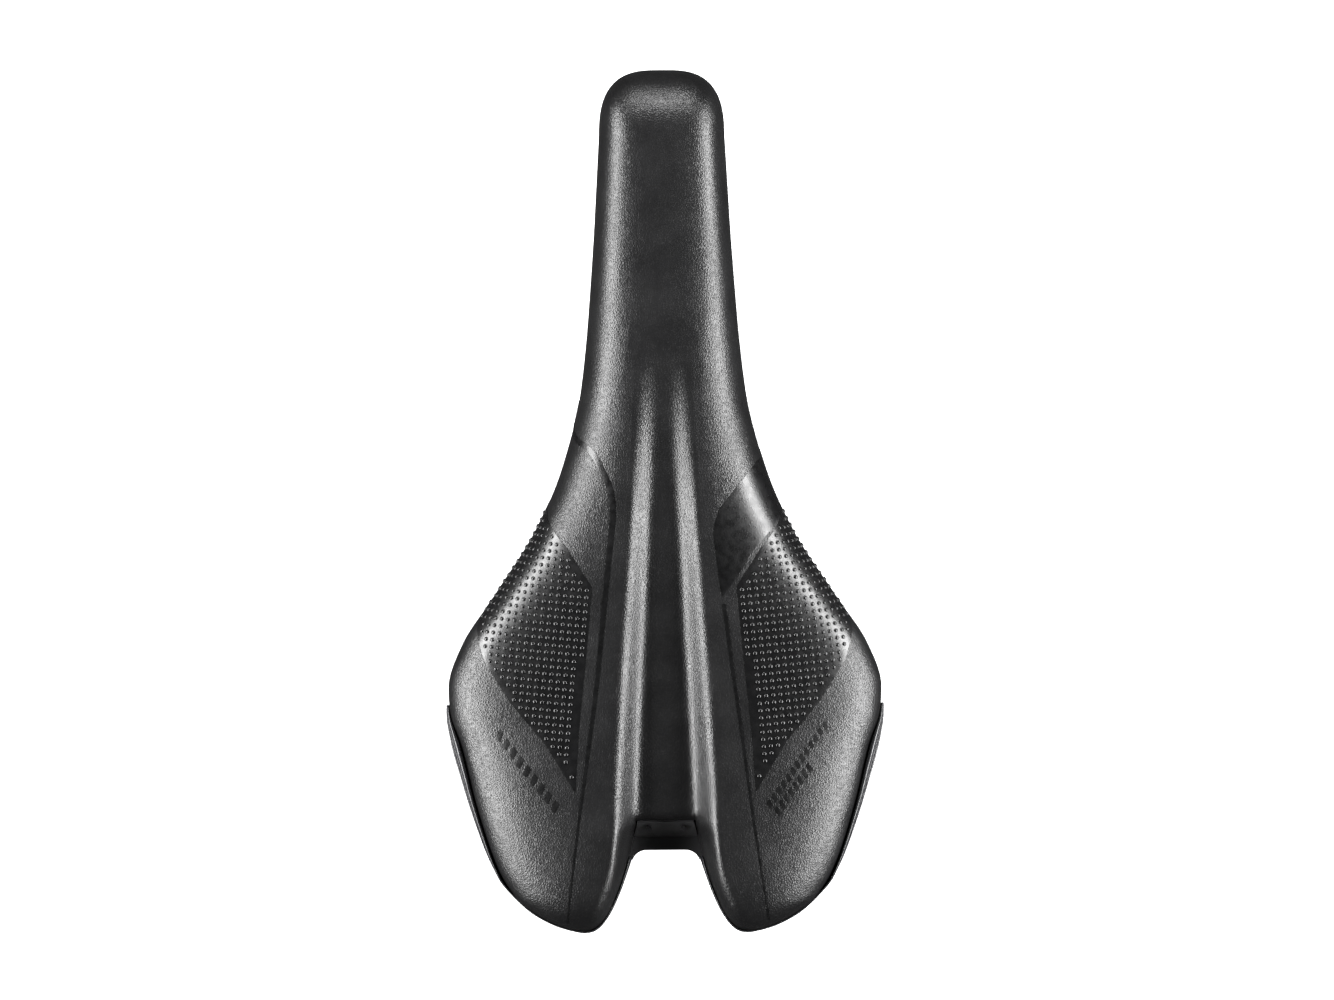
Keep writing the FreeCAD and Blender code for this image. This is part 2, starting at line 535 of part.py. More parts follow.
def main():
    parts = {}
    cover, foam, gels, bare_shell, in_shell = padding()
    right_rail = rail()
    rails = {"left": mirrored(right_rail), "right": right_rail}

    pins = bridge_pins()
    nose_screws = [screw(0, y, NOSE_CAP_LOW + HEAD_SINK, 9.0) for y in NOSE_SCREW_Y]
    nose_inserts = [insert(0, y, NOSE_RAIL_Z + PLATE_GAP, INSERT_LENGTH) for y in NOSE_SCREW_Y]
    block_low = REAR_BLOCK[0][2] + HEAD_SINK
    block_spots = [(s * BLOCK_SCREW_X, y) for s in (-1, 1) for y in BLOCK_SCREW_Y]
    block_screws = [screw(x, y, block_low, 13.4) for x, y in block_spots]
    socket_spots = [(s * SOCKET_SCREW_X, SOCKET_SCREW_Y) for s in (-1, 1)]
    socket_screws = [screw(x, y, SOCKET[0][2] + HEAD_SINK, 12.0) for x, y in socket_spots]
    insert_top = NOSE_RAIL_Z + PLATE_GAP + INSERT_LENGTH
    tools = list(rails.values()) + pins.Solids
    tools += [hole(0, y, NOSE_RAIL_Z - 1, insert_top, INSERT_R) for y in NOSE_SCREW_Y]
    tools += [hole(x, y, 0, SCREW_TOP) for x, y in block_spots + socket_spots]
    right_guard = solid_of(guard())
    guards = {"left": mirrored(right_guard), "right": right_guard}
    shell = base_shell(bare_shell, in_shell, list(guards.values())).cut(tools)
    film = layer(-FILM, -FILM, reach=0.01).cut(layer(0, 0, reach=3.0))
    notch = notch_tool(0)

    parts["cover"] = solid_of(cover.cut(bridge_space()))
    parts["foam_pad"] = solid_of(foam.cut(bridge_space()))
    parts["left_gel_insert"], parts["right_gel_insert"] = gels
    parts["base_shell"] = solid_of(shell)
    for side in ("left", "right"):
        parts[side + "_edge_guard"] = guards[side]
        grip = film.common(prism(GRIP, mirror=side == "left"))
        parts[side + "_grip_patch"] = solid_of(grip)
        parts[side + "_rail"] = rails[side]
    left_strip = film.common(ribbon(LEFT_STRIP, LEFT_STRIP_WIDTH, mirror=True)).cut(notch)
    right_strip = film.common(ribbon(RIGHT_STRIP, RIGHT_STRIP_WIDTH)).cut(notch)
    parts["left_accent_strip"] = solid_of(left_strip)
    parts["right_accent_strip"] = solid_of(right_strip)
    parts["right_gloss_panel"] = solid_of(film.common(prism(PANEL)).cut(prism(GRIP)))
    parts["nose_clamp_plate"] = nose_cap(rails.values())
    parts["nose_clamp_screws"] = Part.makeCompound(nose_screws)
    parts["nose_threaded_inserts"] = Part.makeCompound(nose_inserts)
    parts["right_rear_rail_block"] = rear_block(right_rail)
    parts["left_rear_rail_block"] = mirrored(parts["right_rear_rail_block"])
    parts["rear_block_screws"] = Part.makeCompound(block_screws)
    parts["accessory_socket"] = accessory_socket()
    parts["accessory_socket_screws"] = Part.makeCompound(socket_screws)
    parts["accessory_slot_cover"] = slot_cover()
    parts["bridge_pins"] = pins

    os.makedirs("parts", exist_ok=True)
    for name, shape in parts.items():
        b = shape.BoundBox
        print(name, "solids", len(shape.Solids), "valid", shape.isValid(),
              "volume", round(shape.Volume, 1),
              "box", [round(v, 1) for v in (b.XMin, b.XMax, b.YMin, b.YMax, b.ZMin, b.ZMax)])
        shape.exportStep("parts/" + name + ".step")


main()
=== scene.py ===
"""Looks of the bicycle saddle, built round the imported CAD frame.

Shapes are worked out in millimetres and become metres when a mesh is made. +Y points to the nose,
+X to the rider's right, +Z up; the saddle rests on its rails.
"""

import functools
import math

import bmesh
import bpy
import numpy as np
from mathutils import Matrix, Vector
from mathutils.bvhtree import BVHTree
from mathutils.geometry import delaunay_2d_cdt


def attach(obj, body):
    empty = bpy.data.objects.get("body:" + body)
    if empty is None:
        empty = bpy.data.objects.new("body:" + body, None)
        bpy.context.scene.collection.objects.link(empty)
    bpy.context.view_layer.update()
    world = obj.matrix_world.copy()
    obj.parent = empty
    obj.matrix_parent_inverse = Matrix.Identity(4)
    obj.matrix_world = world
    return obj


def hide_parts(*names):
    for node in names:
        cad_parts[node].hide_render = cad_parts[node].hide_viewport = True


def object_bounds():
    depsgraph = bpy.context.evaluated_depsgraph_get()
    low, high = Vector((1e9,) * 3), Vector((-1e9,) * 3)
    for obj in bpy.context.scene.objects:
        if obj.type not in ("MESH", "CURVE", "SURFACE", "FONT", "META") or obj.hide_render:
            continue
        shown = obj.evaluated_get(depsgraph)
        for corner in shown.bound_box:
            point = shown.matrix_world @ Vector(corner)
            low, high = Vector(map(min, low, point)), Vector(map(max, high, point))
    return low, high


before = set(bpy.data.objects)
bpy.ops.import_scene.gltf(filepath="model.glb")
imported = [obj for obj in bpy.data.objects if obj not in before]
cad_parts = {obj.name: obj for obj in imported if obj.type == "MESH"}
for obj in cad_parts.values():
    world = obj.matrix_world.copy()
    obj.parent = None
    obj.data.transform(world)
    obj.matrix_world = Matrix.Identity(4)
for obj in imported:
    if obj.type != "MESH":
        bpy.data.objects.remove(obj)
cad_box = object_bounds()

# ---- driving dimensions, in millimetres ---------------------------------------------------
MM = 0.001
NOSE_Y = 147.0
NOSE_ROUND = 22.0        # length of the rounded nose end
NOSE_POWER = 2.8         # superellipse power of the nose's outline in plan
RISE_POWER = 2.3         # and of the way the top rises behind the nose's front
TAIL_ROLL = 26.0         # distance over which the top rolls down to the tail's edge
NOTCH_ROLL = (3.5, 3.0)  # the roll down to the notch: at its front, and how much wider behind
NOTCH_POWER = 2.2        # superellipse power of that roll
BRIDGE_REAR = -92.5      # the cover's edge leaves the bridge here
BRIDGE_DROP = 3.0        # and comes down to the shell's edge over this distance
REAR_Y = -85.0           # everything that the notch shapes lies behind here
NOTCH_Y = -92.0          # front of the notch between the tail lobes
NOTCH_HALF = 9.4         # its half width there
BRIDGE_TOP = 39.7        # the cover's rear edge rests on the shell's bridge at this height
SKIN = 1.1               # thickness of the cover
FOAM_INSET = 1.3         # foam starts this far inside the cover's surface
FILM = 0.14              # height of the bonded films over the cover
LINE_FILM = 0.20         # and of the narrow lines, which bend with the cover the most
GROOVE = 0.30            # how deep a film is sunk into the cover
UNROLL_X = 28.0          # distances along a section are counted from here, clear of the notch
SECTION_STEP = 0.1       # the sections that films are unrolled on lie this far apart
FILM_CREASE = 0.9        # a film is shaded sharp where it turns by more than this many radians
DOT_PITCH = 2.26         # spacing of the raised grip dots
DOT_R = 0.70             # their radius
DOT_HEIGHT = 0.42        # and their height over the film
GRIP_EDGE = 1.35         # bare border of the grip patches

HALF_WIDTH = [(-128, 25.5), (-126.5, 32.5), (-124, 38.4), (-120, 45), (-116, 49.4), (-105, 56),
              (-93, 60.6), (-78, 65.3), (-66, 68.5), (-58, 69.6), (-48, 68.7), (-36, 64.3),
              (-20, 53.6), (0, 40.9), (20, 32.4), (45, 26.3), (90, 22.1), (125, 20.1)]
GUARD_WIDTH = [(-128, 0.7), (-116, 1.1), (-99, 1.7), (-86, 2.2), (-70, 3.0), (-60, 1.6),
               (-54, 0.7), (-48, 0.0), (147, 0.0)]
CROWN = [(-128, 49.5), (-95, 51), (-60, 50), (-20, 47.5), (20, 45.5), (70, 44.5), (125, 45)]
LOWER_EDGE = [(-128, 35), (-100, 33.5), (-57, 31.5), (-30, 29.5), (0, 25.5), (30, 21.5),
              (70, 18), (125, 16.5), (147, 18.5)]
ROUNDNESS = [(-128, 2.3), (-60, 2.3), (0, 2.5), (30, 2.8), (60, 3.2), (95, 3.7), (147, 3.9)]
CHANNEL_DEPTH = [(-128, 9), (-90, 8), (-50, 6.5), (0, 4.5), (40, 2.2), (64, 0), (147, 0)]
CHANNEL_FLOOR = [(-128, 9), (-85, 8), (-6, 4), (45, 1.2), (147, 1)]
CHANNEL_SHOULDER = [(-128, 18), (-85, 16.5), (-6, 12), (45, 9.5), (147, 8)]
FOAM_DEPTH = [(-128, 10), (-40, 10), (60, 8), (147, 8)]

# The cover's edge in plan behind the side: round the lobe's tip, and forwards along the notch.
LOBE_END = [(48.3, -116), (44.1, -120), (37.5, -124), (31.5, -126.4), (27.4, -127.2), (24.6, -127.4)]
NOTCH_SIDE = [(24.6, -127.4), (21.7, -125.9), (18.5, -121.9), (15.6, -115.5), (13.0, -108.4),
              (11.2, -101.5), (9.9, -96.0), (NOTCH_HALF, NOTCH_Y)]
SIDE_END = -112.0
SIDES = (("left", -1), ("right", 1))

# The edge guard's outer line in plan.
GUARD_SIDE_Y = [-55.5, -57, -60, -64, -70, -78, -86, -94, -102, -108, -113]
GUARD_TAIL = [(44, -120.6), (36.5, -125.1), (29.5, -127.4), (24.6, -127.9), (21, -126.2),
              (17.6, -121.7), (14.6, -115.4), (12.1, -108.6), (10.6, -104.0)]

# Film outlines in plan on the right-hand side; None stands for the cover's lower edge at that y.
GRIP = [(None, 9.5), (37.0, 5.5), (30.2, -6.4), (22.8, -18), (24.6, -38), (27.2, -63), (28.4, -82.5),
        (38, -67), (49, -54), (57, -41), (59.4, -31.5), (None, -24.0)]
PANEL = [(None, 25.5), (31.2, 23.4), (29.5, 21.6), (27.2, 18.6), (23.3, 13.8), (21.2, 11), (17.5, 6.5),
         (16.1, 2.2), (15.5, -1), (16.1, -6), (16.8, -12), (17.6, -18), (18.2, -21.1), (20, -18.8),
         (21.3, -16.9), (24.1, -13.2), (27, -8), (30.7, -3.8), (34.4, 0.6), (36.1, 3.6), (None, 8.6)]
LEFT_STRIP = [(None, 41), (28.6, 32), (23.4, 25.2), (19.4, 18.6), (16.7, 11.5), (16.2, 4), (17.2, -6),
              (19.0, -24), (21.4, -48), (24.6, -72), (28.2, -98), (31.3, -124.5)]
LEFT_STRIP_WIDTH = [1.6, 1.8, 1.9, 1.9, 1.9, 1.9, 1.7, 1.5, 1.2, 0.9, 0.6, 0.5]
RIGHT_STRIP = [(18.6, -23.6), (19.6, -30), (21.2, -43), (23, -56), (25.4, -74), (28.2, -95),
               (32.4, -123.5)]
RIGHT_STRIP_WIDTH = [1.1, 1.0, 0.9, 0.8, 0.7, 0.55, 0.5]


# ---- curves -------------------------------------------------------------------------------
def curve(stations):
    """A monotone cubic curve through (y, value) stations, as a function of arrays of y."""
    ys = np.array([s[0] for s in stations], float)
    vs = np.array([s[1] for s in stations], float)
    steps = np.diff(ys)
    slopes = np.diff(vs) / steps
    tangents = np.empty(len(ys))
    tangents[0], tangents[-1] = slopes[0], slopes[-1]
    for i in range(1, len(slopes)):
        a, b = slopes[i - 1], slopes[i]
        tangents[i] = 0.0 if a * b <= 0 else 2 * a * b / (a + b)

    def value(y):
        y = np.clip(y, ys[0], ys[-1])
        i = np.clip(np.searchsorted(ys, y, side="right") - 1, 0, len(steps) - 1)
        h = steps[i]
        t = (y - ys[i]) / h
        return ((2 * t ** 3 - 3 * t ** 2 + 1) * vs[i] + (t ** 3 - 2 * t ** 2 + t) * h * tangents[i]
                + (3 * t ** 2 - 2 * t ** 3) * vs[i + 1] + (t ** 3 - t ** 2) * h * tangents[i + 1])

    return value


half_width = curve(HALF_WIDTH)
guard_width = curve(GUARD_WIDTH)
crown = curve(CROWN)
lower_edge = curve(LOWER_EDGE)
roundness = curve(ROUNDNESS)
channel_depth = curve(CHANNEL_DEPTH)
channel_floor = curve(CHANNEL_FLOOR)
channel_shoulder = curve(CHANNEL_SHOULDER)
foam_depth = curve(FOAM_DEPTH)


def rounded(share, power):
    """1 at share 0, falling to 0 at share 1 like a superellipse."""
    return (1 - np.clip(share, 0, 1) ** power) ** (1 / power)


def smooth(t):
    t = np.clip(t, 0, 1)
    return t * t * (3 - 2 * t)


def spline(points, per_span=12):
    """A Catmull-Rom curve through plan points, as a dense array."""
    p = np.array(points, float)
    p = np.vstack([2 * p[0] - p[1], p, 2 * p[-1] - p[-2]])
    dense = []
    for i in range(1, len(p) - 2):
        a, b, c, d = p[i - 1:i + 3]
        for t in np.arange(per_span) / per_span:
            dense.append(0.5 * (2 * b + (c - a) * t + (2 * a - 5 * b + 4 * c - d) * t ** 2
                                + (3 * b - a - 3 * c + d) * t ** 3))
    dense.append(p[-2])
    return np.array(dense)


def along(points, step):
    """The same line with evenly spaced points."""
    lengths = np.concatenate([[0], np.cumsum(np.hypot(*np.diff(points, axis=0).T))])
    at = np.linspace(0, lengths[-1], max(2, round(lengths[-1] / step) + 1))
    return np.column_stack([np.interp(at, lengths, points[:, k]) for k in (0, 1)])


def outer_line():
    """The cover's edge in plan from the nose's front round to the lobe's tip."""
    turn = np.linspace(0, math.pi / 2, 160)
    nose_y = NOSE_Y - NOSE_ROUND + NOSE_ROUND * np.cos(turn) ** (2 / NOSE_POWER)
    nose_x = half_width(nose_y) * np.sin(turn) ** (2 / NOSE_POWER)
    side_y = np.arange(NOSE_Y - NOSE_ROUND - 0.5, SIDE_END, -0.5)
    side_x = half_width(side_y) - guard_width(side_y)
    side = np.vstack([np.column_stack([nose_x, nose_y]), np.column_stack([side_x, side_y])])
    lobe = spline([tuple(side[-8])] + LOBE_END)[12:]
    side = side[side[:, 1] > lobe[0, 1] + 0.2]
    line = np.vstack([side, lobe])
    line[:, 1] = np.minimum.accumulate(line[:, 1])
    return line


OUTER = outer_line()
INNER = spline(NOTCH_SIDE)
INNER[:, 1] = np.maximum.accumulate(INNER[:, 1])


def edge_x(y):
    """Half width of the cover in plan."""
    return np.interp(-np.asarray(y, float), -OUTER[:, 1], OUTER[:, 0])


def notch_x(y):
    """The notch's half width at a y behind its front."""
    return np.interp(y, INNER[:, 1], INNER[:, 0])


def tail_y(x):
    """The rear edge's y at a distance from the centre plane."""
    rear = OUTER[OUTER[:, 1] < REAR_Y][::-1]
    return np.interp(x, rear[:, 0], rear[:, 1])


# ---- the cover's surface ------------------------------------------------------------------
def rim_height(x, y):
    """Height of the cover's lower edge: the shell's edge, or the bridge at the notch's front."""
    behind = smooth((BRIDGE_REAR - y) / BRIDGE_DROP)
    at_front = (x < NOTCH_HALF + 3) & (y < NOTCH_Y + 4)
    return np.where(at_front, BRIDGE_TOP + (lower_edge(y) - BRIDGE_TOP) * behind, lower_edge(y))


def top_height(x, y, inset=0.0):
    """Height of the padded top over plan points x >= 0, or of the same shape drawn in by inset."""
    x, y = np.asarray(x, float), np.asarray(y, float)
    width = np.maximum(edge_x(y) - inset, 0.4)
    edge = lower_edge(y)
    from_nose = (y - NOSE_Y + NOSE_ROUND) / (NOSE_ROUND - inset)
    height = (crown(y) - inset - edge) * rounded(from_nose, RISE_POWER)
    side = np.clip((width - x) / width, 0, 1)
    rear = np.maximum(y - tail_y(x) - inset, 1e-4) / TAIL_ROLL
    share = side / (1 + (side / rear) ** 3) ** (1 / 3)
    rise = height * rounded(1 - share, roundness(y))
    floor, shoulder = channel_floor(y), channel_shoulder(y)
    rise = rise - channel_depth(y) * (1 - smooth((x - floor) / (shoulder - floor)))
    z = edge + np.maximum(rise, 0)
    behind = smooth((BRIDGE_REAR - y) / BRIDGE_DROP)
    beside = np.where(y > NOTCH_Y, np.hypot(np.maximum(x - NOTCH_HALF, 0), y - NOTCH_Y),
                      x - notch_x(y)) - inset
    base = BRIDGE_TOP + (edge - BRIDGE_TOP) * behind
    roll = rounded(1 - beside / (NOTCH_ROLL[0] + NOTCH_ROLL[1] * behind), NOTCH_POWER)
    return np.where(z > base, base + (z - base) * roll, z)


ROW_STEP = 1.4
ACROSS = 56              # cells from the centre strip to the side
CENTRE = 7               # cells over the centre strip that ends at the notch's front
NEAR_NOTCH = [4.0, 2.9, 2.0, 1.3, 0.8, 0.4, 0.15, 0.0]      # rows this far before the notch


def rows():
    """The y of every cross row, closer together where the edge turns and at the notch's front."""
    ys = along(OUTER, ROW_STEP)[:, 1]
    ys = ys[(ys > NOTCH_Y + 4.2) | (ys < NOTCH_Y - 0.4)]
    near = NOTCH_Y + np.array(NEAR_NOTCH)
    return np.sort(np.unique(np.concatenate([ys, near])))[::-1]


ROWS = rows()
FRONT_ROWS = int(np.sum(ROWS >= NOTCH_Y - 1e-9))


def spread(rear):
    """Places across from the inside (0) to the edge (1); behind the notch both ends are dense."""
    u = np.linspace(0, 1, ACROSS + 1)
    return (1 - rear) * np.sin(u * math.pi / 2) + rear * (1 - np.cos(math.pi * u)) / 2


def half_grid(inset=0.0):
    """Plan points of the right half: the centre strip's rows, and the rows from it to the edge."""
    strip, main = [], []
    for i, y in enumerate(ROWS):
        width = max(float(edge_x(y)) - inset, 0.0)
        if i < FRONT_ROWS:
            inside = min(NOTCH_HALF + inset, 0.4 * width)
            strip.append([(inside * k / CENTRE, y) for k in range(CENTRE + 1)])
        else:
            inside = min(float(notch_x(y)) + inset, width)
        rear = float(smooth((-70 - y) / 22))
        main.append([(inside + (width - inside) * g, y) for g in spread(rear)])
    return np.array(strip), np.array(main)


class Half:
    """Vertices and quads of the right half of a form, and the order of its edge."""

    def __init__(self, strip, main):
        self.points = []
        self.faces = []
        self.strip = [[self.add(p) for p in row[:-1]] for row in strip]
        self.main = [[self.add(p) for p in row] for row in main]
        for i in range(len(main) - 1):
            both = [self.main[i], self.main[i + 1]]
            if i < FRONT_ROWS - 1:
                both = [self.strip[i] + self.main[i], self.strip[i + 1] + self.main[i + 1]]
            self.join(both[0], both[1])
        front = self.strip[FRONT_ROWS - 1] + self.main[FRONT_ROWS - 1][:1]
        self.edge = ([row[-1] for row in self.main]
                     + [row[0] for row in self.main[:FRONT_ROWS - 1:-1]] + front[::-1])

    def add(self, point):
        self.points.append(tuple(point))
        return len(self.points) - 1

    def join(self, a, b):
        for k in range(len(a) - 1):
            self.faces.append((a[k], a[k + 1], b[k + 1], b[k]))


def raised(grid, height):
    """The plan grid with a height for every point."""
    return np.dstack([grid, height(grid[:, :, 0], grid[:, :, 1])])


def inward_normals(line):
    """Unit vectors in plan, pointing inside, along the edge of the right half."""
    d = np.gradient(line, axis=0)
    d /= np.maximum(np.hypot(d[:, 0], d[:, 1]), 1e-9)[:, None]
    return np.column_stack([d[:, 1], -d[:, 0]])


# ---- meshes -------------------------------------------------------------------------------
def make_mesh(name, points, faces, mirror=False, weld=2e-6, crease=math.pi):
    """A mesh object from millimetre points; mirror adds the left half and welds the middle.

    Shading breaks at edges that turn by more than the crease angle.
    """
    points = np.array(points, float) * MM
    faces = [tuple(f) for f in faces]
    if mirror:
        n = len(points)
        faces = faces + [tuple(n + k for k in reversed(f)) for f in faces]
        points = np.vstack([points, points * [-1, 1, 1]])
    mesh = bpy.data.meshes.new(name)
    mesh.from_pydata([tuple(p) for p in points], [], faces)
    bm = bmesh.new()
    bm.from_mesh(mesh)
    if weld:
        bmesh.ops.remove_doubles(bm, verts=bm.verts, dist=weld)
        bmesh.ops.dissolve_degenerate(bm, edges=bm.edges, dist=1e-7)
    bmesh.ops.recalc_face_normals(bm, faces=bm.faces)
    for face in bm.faces:
        face.smooth = True
    for edge in bm.edges:
        edge.smooth = edge.calc_face_angle(0.0) < crease
    bm.to_mesh(mesh)
    bm.free()
    obj = bpy.data.objects.new(name, mesh)
    bpy.context.scene.collection.objects.link(obj)
    return obj


def apply_modifiers(obj):
    """Bakes an object's modifiers into its mesh."""
    graph = bpy.context.evaluated_depsgraph_get()
    mesh = bpy.data.meshes.new_from_object(obj.evaluated_get(graph))
    obj.modifiers.clear()
    obj.data = mesh


def finish_piece(obj, material, body="saddle", replaces=()):
    obj.data.materials.clear()
    obj.data.materials.append(material)
    if replaces:
        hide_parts(*replaces)
    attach(obj, body)
    return obj


# ---- materials ----------------------------------------------------------------------------
class Nodes:
    """Short calls for building one material's node tree."""

    def __init__(self, name):
        self.material = bpy.data.materials.new(name)
        self.material.use_nodes = True
        self.tree = self.material.node_tree
        self.shader = self.tree.nodes["Principled BSDF"]
        self.where = self.tree.nodes.new("ShaderNodeTexCoord").outputs["Object"]

    def set(self, **values):
        for key, value in values.items():
            self.shader.inputs[key.replace("_", " ")].default_value = value

    def link(self, output, socket):
        self.tree.links.new(output, self.shader.inputs[socket])

    def node(self, kind, **links):
        node = self.tree.nodes.new(kind)
        for key, value in links.items():
            socket = node.inputs[key.replace("_", " ")]
            if hasattr(value, "links"):
                self.tree.links.new(value, socket)
            else:
                socket.default_value = value
        return node

    def stretched(self, scale):
        return self.node("ShaderNodeMapping", Vector=self.where, Scale=scale).outputs[0]

    def noise(self, scale, detail=3.0, rough=0.5, where=None):
        node = self.node("ShaderNodeTexNoise", Vector=where or self.where, Scale=scale,
                         Detail=detail, Roughness=rough)
        return node.outputs[0]

    def cells(self, scale, where=None, feature="F1", output=0):
        node = self.node("ShaderNodeTexVoronoi", Vector=where or self.where, Scale=scale)
        node.feature = feature
        return node.outputs[output]

    def remap(self, value, low, high, to_low, to_high):
        node = self.tree.nodes.new("ShaderNodeMapRange")
        self.tree.links.new(value, node.inputs[0])
        for k, number in enumerate((low, high, to_low, to_high)):
            node.inputs[k + 1].default_value = number
        return node.outputs[0]

    def mix(self, factor, first, second):
        node = self.tree.nodes.new("ShaderNodeMix")
        node.data_type = "RGBA"
        self.tree.links.new(factor, node.inputs[0])
        node.inputs[6].default_value = first + (1,)
        node.inputs[7].default_value = second + (1,)
        return node.outputs[2]

    def add(self, first, second, share):
        node = self.tree.nodes.new("ShaderNodeMath")
        node.operation = "MULTIPLY_ADD"
        self.tree.links.new(second, node.inputs[0])
        node.inputs[1].default_value = share
        self.tree.links.new(first, node.inputs[2])
        return node.outputs[0]

    def bump(self, height, strength, distance_mm):
        node = self.node("ShaderNodeBump", Height=height, Strength=strength,
                         Distance=distance_mm * MM)
        self.link(node.outputs[0], "Normal")


def warped(nodes, scale, amount):
    """Object coordinates pushed about by a noise, so that cells lose their regular look."""
    noise_node = nodes.node("ShaderNodeTexNoise", Vector=nodes.where, Scale=scale, Detail=2.0)
    shift = nodes.tree.nodes.new("ShaderNodeVectorMath")
    shift.operation = "MULTIPLY_ADD"
    nodes.tree.links.new(noise_node.outputs[1], shift.inputs[0])
    shift.inputs[1].default_value = (amount, amount, amount)
    nodes.tree.links.new(nodes.where, shift.inputs[2])
    return shift.outputs[0]


def pebble_height(nodes, scale=1250.0):
    """Fine leather pebbles: cells with soft dark creases, over finer pores and broad rolls."""
    where = warped(nodes, 420.0, 0.0011)
    creases = nodes.cells(scale, where, "DISTANCE_TO_EDGE")
    domes = nodes.remap(creases, 0.0, 0.32, 0.0, 1.0)
    domes = nodes.add(domes, nodes.noise(2600.0, 2.0), 0.5)
    return nodes.add(domes, nodes.noise(300.0, 2.0), 0.6)


def leather():
    n = Nodes("cover_leather")
    n.set(Specular_IOR_Level=0.5, IOR=1.5)
    tone = n.noise(55.0, 4.0, 0.6)
    n.link(n.mix(n.remap(tone, 0.35, 0.7, 0, 1), (0.0024, 0.0024, 0.0026), (0.0044, 0.0044, 0.0047)),
           "Base Color")
    grain = pebble_height(n)
    n.link(n.remap(n.noise(90.0, 3.0), 0.3, 0.7, 0.33, 0.40), "Roughness")
    n.bump(grain, 0.50, 0.10)
    return n.material


def foam():
    n = Nodes("pu_foam")
    n.set(Specular_IOR_Level=0.3)
    n.link(n.mix(n.noise(500.0, 4.0), (0.09, 0.09, 0.10), (0.17, 0.17, 0.18)), "Base Color")
    n.link(n.remap(n.noise(700.0), 0.2, 0.8, 0.8, 0.98), "Roughness")
    n.bump(n.cells(900.0), 0.8, 0.3)
    return n.material


def gel():
    n = Nodes("gel")
    n.set(Subsurface_Weight=0.4, Subsurface_Scale=0.004, Specular_IOR_Level=0.6)
    n.link(n.mix(n.noise(70.0, 3.0), (0.28, 0.36, 0.42), (0.38, 0.47, 0.52)), "Base Color")
    n.link(n.remap(n.noise(240.0), 0.2, 0.8, 0.08, 0.2), "Roughness")
    n.bump(n.noise(160.0, 2.0), 0.2, 0.2)
    return n.material


def moulded(name, dark, light, rough, grain_scale, depth, strength=0.3, level=0.45):
    """Injection-moulded plastic: faint flow marks in the colour and an eroded-mould texture."""
    n = Nodes(name)
    n.set(Specular_IOR_Level=level)
    n.link(n.mix(n.noise(26.0, 5.0, 0.6, n.stretched((1.0, 0.35, 1.0))), dark, light), "Base Color")
    fine = n.noise(grain_scale, 3.0, 0.6)
    n.link(n.remap(fine, 0.3, 0.7, rough - 0.06, rough + 0.06), "Roughness")
    n.bump(n.add(fine, n.noise(grain_scale / 3.5, 2.0), 0.5), strength, depth)
    return n.material


def film_ink(name, dark, light, rough, grain):
    """Printed and bonded film: darker and glossier than the leather, whose grain it softens."""
    n = Nodes(name)
    n.set(Specular_IOR_Level=0.5, IOR=1.5)
    n.link(n.mix(n.noise(120.0, 3.0), dark, light), "Base Color")
    n.link(n.remap(n.noise(420.0, 2.0), 0.3, 0.7, rough - 0.04, rough + 0.05), "Roughness")
    n.bump(pebble_height(n), grain, 0.07)
    return n.material


def steel(name, dark, light, rough, stretch, wear=0.5):
    """Metal with drawn lines along its length and dulled patches."""
    n = Nodes(name)
    n.set(Metallic=1.0)
    lines = n.noise(900.0, 3.0, 0.6, n.stretched(stretch))
    patches = n.noise(60.0, 4.0, 0.6)
    n.link(n.mix(n.remap(n.add(lines, patches, wear), 0.4, 1.1, 0, 1), dark, light), "Base Color")
    n.link(n.remap(n.add(patches, lines, 0.6), 0.4, 1.1, rough - 0.07, rough + 0.09), "Roughness")
    n.bump(lines, 0.25, 0.03)
    return n.material


MATERIALS = {
    "cover_leather": leather(),
    "pu_foam": foam(),
    "gel": gel(),
    "shell_plastic": moulded("shell_plastic", (0.026, 0.026, 0.027), (0.040, 0.040, 0.042), 0.40,
                             1500.0, 0.06),
    "guard_plastic": moulded("guard_plastic", (0.020, 0.020, 0.022), (0.032, 0.032, 0.034), 0.24,
                             600.0, 0.01, 0.12, 0.6),
    "grip_film": film_ink("grip_film", (0.0018, 0.0018, 0.0020), (0.0032, 0.0032, 0.0034), 0.27, 0.10),
    "gloss_film": film_ink("gloss_film", (0.0009, 0.0009, 0.001), (0.0018, 0.0018, 0.002), 0.29, 0.20),
    "rail_steel": steel("rail_steel", (0.42, 0.42, 0.43), (0.62, 0.62, 0.64), 0.27, (1.0, 0.03, 1.0)),
    "fitting_plastic": moulded("fitting_plastic", (0.014, 0.014, 0.015), (0.026, 0.026, 0.027), 0.5,
                               1100.0, 0.08, 0.4),
    "slot_cover_plastic": moulded("slot_cover_plastic", (0.022, 0.022, 0.023), (0.035, 0.035, 0.037),
                                  0.42, 1400.0, 0.05),
    "screw_steel": steel("screw_steel", (0.05, 0.05, 0.055), (0.16, 0.16, 0.165), 0.34, (1, 1, 0.1)),
    "insert_brass": steel("insert_brass", (0.55, 0.38, 0.14), (0.72, 0.52, 0.22), 0.3, (1, 1, 0.1)),
}


